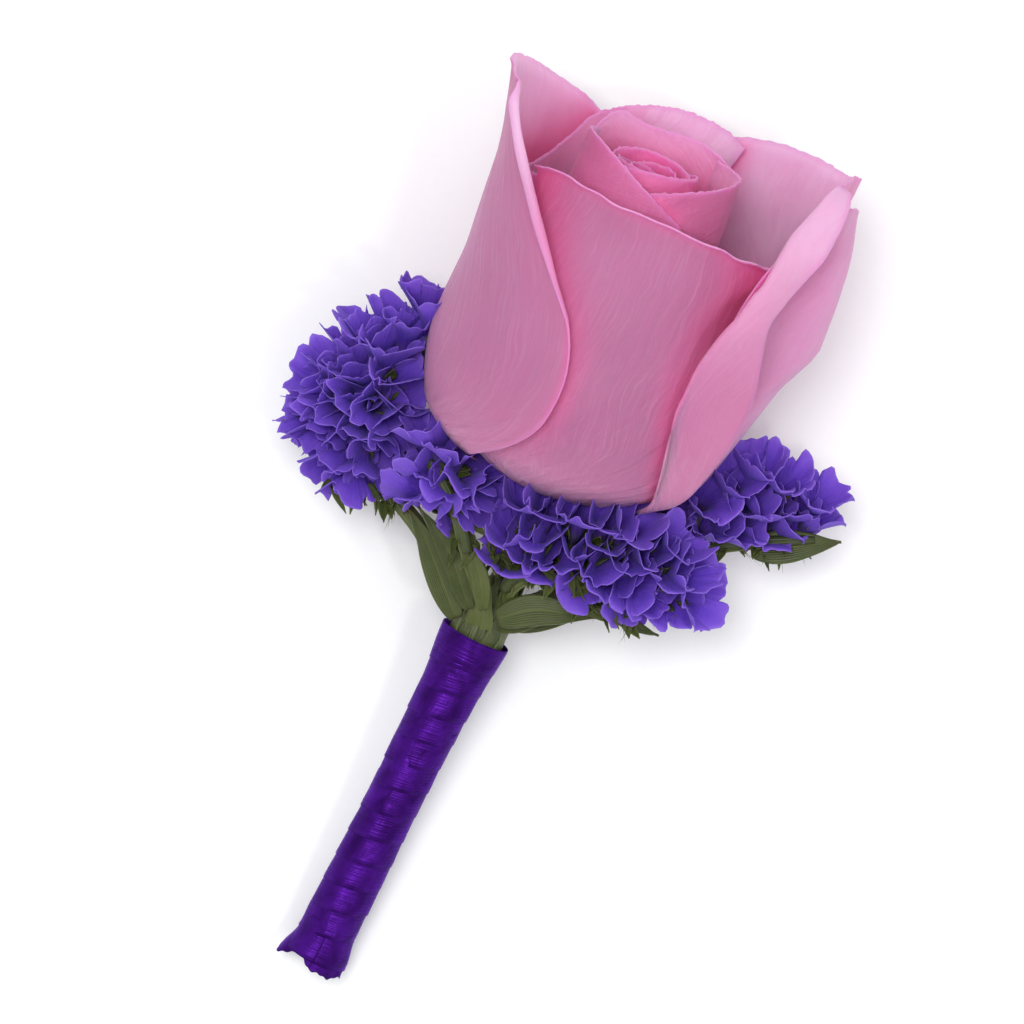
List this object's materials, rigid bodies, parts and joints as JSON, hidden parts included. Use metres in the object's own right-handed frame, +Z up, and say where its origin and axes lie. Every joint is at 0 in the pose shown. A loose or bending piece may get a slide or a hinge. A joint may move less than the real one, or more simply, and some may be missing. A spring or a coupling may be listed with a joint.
{
  "type": "boutonniere",
  "caption": "Buttonhole flower lying down: a rose in a collar of small papery flowers, its stems bound with satin ribbon.",
  "frame": {"origin": "on the table, under the middle of the whole", "axes": "+Y along the stems towards the bloom, +Z up from the table it lies on"},
  "size_m": [0.0768, 0.1252, 0.0471],
  "materials": {
    "rose_petals": "velvety living petal, mauve pink, paler at the rims",
    "rose_green": "smooth green stem",
    "statice_florets": "dry papery blue violet, paler at the edges",
    "statice_green": "matte green, a little hairy",
    "satin_ribbon": "satin"
  },
  "bodies": {
    "root": {"rose_bloom": "rose_petals", "rose_calyx_stem": "rose_green", "statice_left_florets": "statice_florets", "statice_front_left_florets": "statice_florets", "statice_front_right_florets": "statice_florets", "statice_right_florets": "statice_florets", "statice_left_stem": "statice_green", "statice_front_left_stem": "statice_green", "statice_front_right_stem": "statice_green", "statice_right_stem": "statice_green", "stem_wrap": "satin_ribbon"}
  },
  "joints": []
}
